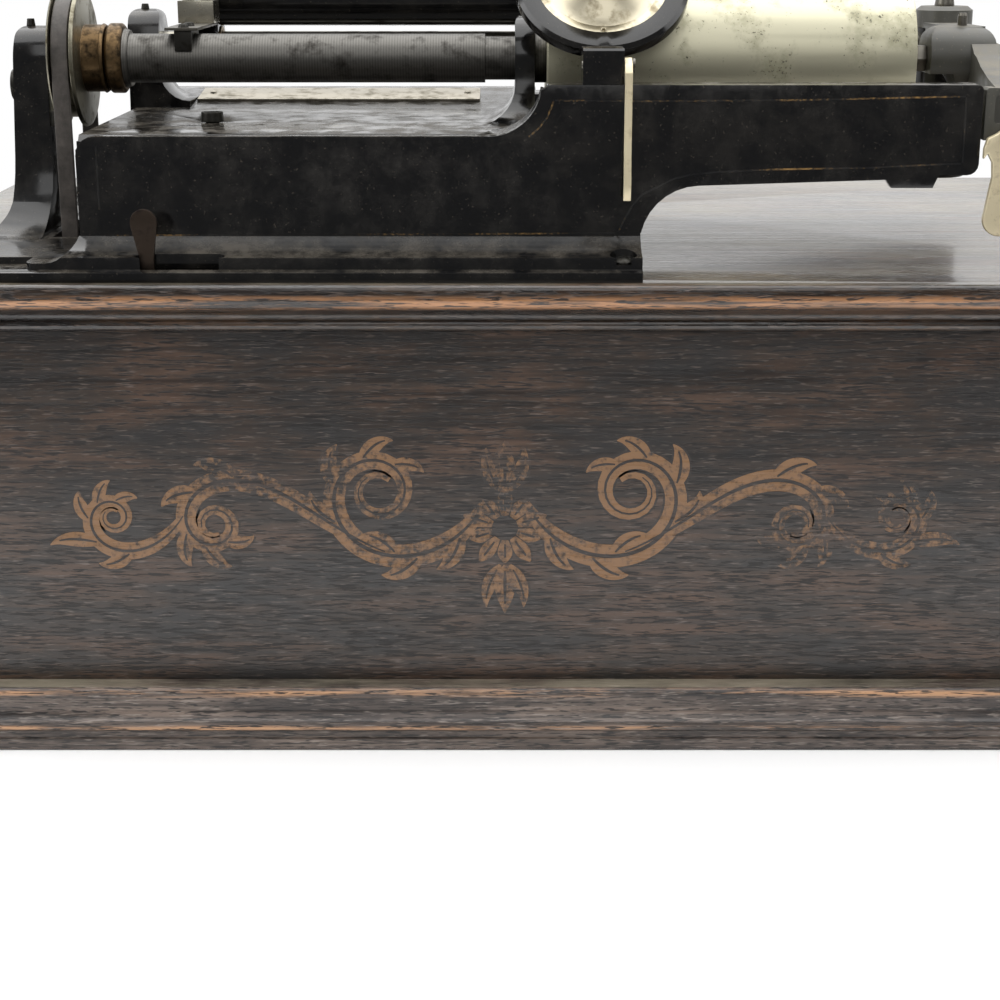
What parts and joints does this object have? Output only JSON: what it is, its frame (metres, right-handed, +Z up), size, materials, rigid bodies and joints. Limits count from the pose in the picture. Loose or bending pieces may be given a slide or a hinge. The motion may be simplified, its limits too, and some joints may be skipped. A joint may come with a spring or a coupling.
{
  "type": "cylinder phonograph",
  "caption": "Table phonograph for wax cylinders: oak case, black cast bed, belt driven feed screw and tapered mandrel, sliding reproducer arm, swing gate and side crank.",
  "frame": {"origin": "centre of the case's footprint, on the table", "axes": "+X to the right along the mandrel, +Y to the back, +Z up"},
  "size_m": [0.4564, 0.236, 0.2286],
  "materials": {
    "oak": "dark fumed oak, varnished, grain open, edges worn to orange",
    "pine": "plain pine, unfinished",
    "japanned_iron": "cast iron with black japan enamel, oily, gold lines",
    "nickel": "old nickel plate, softly polished",
    "mandrel_nickel": "brass tube with worn, pitted nickel plate",
    "brass": "old brass, brown with oil",
    "steel": "turned steel, dark with oil",
    "leather": "brown belt leather",
    "handle_wood": "turned hardwood, stained nearly black",
    "mica": "thin mica or copper disc"
  },
  "bodies": {
    "root": {"top_board": "oak", "case_front": "oak", "case_back": "oak", "case_left": "oak", "case_right": "oak", "base_moulding": "oak", "bottom_board": "pine", "glue_blocks": "pine", "bedplate": "japanned_iron", "bed_bolts": "steel", "post_set_screws": "steel", "left_centre_screw": "steel", "data_plate": "brass", "back_rod": "nickel", "drive_belt": "leather", "start_lever_pivot": "steel", "motor_plates": "japanned_iron", "motor_pillars": "steel", "pawl_pin": "steel", "crank_escutcheon": "nickel"},
    "rotor": {"feed_screw_shaft": "steel", "mandrel": "mandrel_nickel", "mandrel_pulley": "brass", "thrust_collar": "brass"},
    "pulley_arbor": {"pulley_arbor": "steel"},
    "train": {"train_arbor": "steel"},
    "barrel": {"spring_barrel": "steel", "barrel_cover": "brass", "mainspring": "steel"},
    "governor": {"governor_shaft": "steel", "governor_weights": "brass", "friction_disc": "brass"},
    "winder": {"winding_arbor": "steel"},
    "crank": {"winding_shaft": "steel", "crank_arm": "nickel", "crank_pin": "steel"},
    "handle": {"crank_handle": "handle_wood"},
    "pawl": {"pawl": "steel"},
    "carriage": {"rod_bushes": "brass"},
    "arm": {"carriage_arm": "japanned_iron", "feed_nut_spring": "steel", "spring_clamp": "nickel", "clamp_screws": "steel", "feed_nut": "brass", "reproducer_body": "nickel", "reproducer_diaphragm": "mica", "reproducer_weight": "nickel", "stylus_bar": "steel", "lift_lever_pin": "steel"},
    "lift_lever": {"lift_lever": "nickel"},
    "gate": {"gate_arm": "japanned_iron", "gate_hinge_screw": "steel", "gate_centre_screw": "steel", "gate_locknut": "steel", "gate_set_screw": "steel", "latch_screw": "steel"},
    "latch": {"gate_latch": "nickel"},
    "start_lever": {"start_lever": "steel"},
    "speed_screw": {"speed_screw": "steel"}
  },
  "joints": [
    {"name": "mandrel_spin", "type": "hinge", "parent": "root", "child": "rotor", "pos_m": [0.04, -0.043, 0.187], "axis": [1, 0, 0], "continuous": true},
    {"name": "pulley_arbor_spin", "type": "hinge", "parent": "root", "child": "pulley_arbor", "pos_m": [-0.07, -0.043, 0.058], "axis": [1, 0, 0], "continuous": true},
    {"name": "train_spin", "type": "hinge", "parent": "root", "child": "train", "pos_m": [-0.07, -0.01396, 0.08835], "axis": [1, 0, 0], "continuous": true},
    {"name": "barrel_spin", "type": "hinge", "parent": "root", "child": "barrel", "pos_m": [-0.07, 0.032, 0.06], "axis": [1, 0, 0], "continuous": true},
    {"name": "governor_spin", "type": "hinge", "parent": "root", "child": "governor", "pos_m": [-0.07, -0.06801, 0.0321], "axis": [1, 0, 0], "continuous": true},
    {"name": "crank_spin", "type": "hinge", "parent": "root", "child": "crank", "pos_m": [0.2, -0.00264, 0.08], "axis": [1, 0, 0], "continuous": true},
    {"name": "winding_arbor_spin", "type": "hinge", "parent": "root", "child": "winder", "pos_m": [-0.012, 0.032, 0.06], "axis": [1, 0, 0], "continuous": true},
    {"name": "handle_spin", "type": "hinge", "parent": "crank", "child": "handle", "pos_m": [0.22, -0.00264, 0.02], "axis": [1, 0, 0], "continuous": true},
    {"name": "pawl_swing", "type": "hinge", "parent": "root", "child": "pawl", "pos_m": [-0.017, 0.018, 0.073], "axis": [1, 0, 0], "range_deg": [-12.5, 4], "stiffness_Nm_per_rad": 0.004},
    {"name": "carriage_slide", "type": "slide", "parent": "root", "child": "carriage", "axis": [1, 0, 0], "range_m": [-0.01, 0.082]},
    {"name": "arm_lift", "type": "hinge", "parent": "carriage", "child": "arm", "pos_m": [0, 0, 0.188], "axis": [-1, 0, 0], "range_deg": [0, 3.5]},
    {"name": "lift_lever_swing", "type": "hinge", "parent": "arm", "child": "lift_lever", "pos_m": [0.0126, -0.0986, 0.1884], "axis": [-1, 0, 0], "range_deg": [0, 85]},
    {"name": "gate_swing", "type": "hinge", "parent": "root", "child": "gate", "pos_m": [0.1175, 0, 0.19], "axis": [0, 0, 1], "range_deg": [0, 90]},
    {"name": "latch_swing", "type": "hinge", "parent": "gate", "child": "latch", "pos_m": [0.1146, -0.1025, 0.1696], "axis": [0, -1, 0], "range_deg": [0, 40]},
    {"name": "start_lever_swing", "type": "hinge", "parent": "root", "child": "start_lever", "pos_m": [-0.106, -0.07, 0.134], "axis": [0, 0, 1], "range_deg": [0, 25]},
    {"name": "speed_screw_turn", "type": "hinge", "parent": "root", "child": "speed_screw", "pos_m": [-0.104, -0.06, 0.171], "axis": [0, 0, 1], "range_deg": [-180, 180]}
  ],
  "couplings": [
    {"joint": "pulley_arbor_spin", "follows": "mandrel_spin", "ratio": 1},
    {"joint": "train_spin", "follows": "mandrel_spin", "ratio": -0.16667},
    {"joint": "barrel_spin", "follows": "mandrel_spin", "ratio": 0.020833},
    {"joint": "governor_spin", "follows": "mandrel_spin", "ratio": -5},
    {"joint": "winding_arbor_spin", "follows": "crank_spin", "ratio": -0.33333},
    {"joint": "lift_lever_swing", "follows": "arm_lift", "ratio": 24.28}
  ]
}
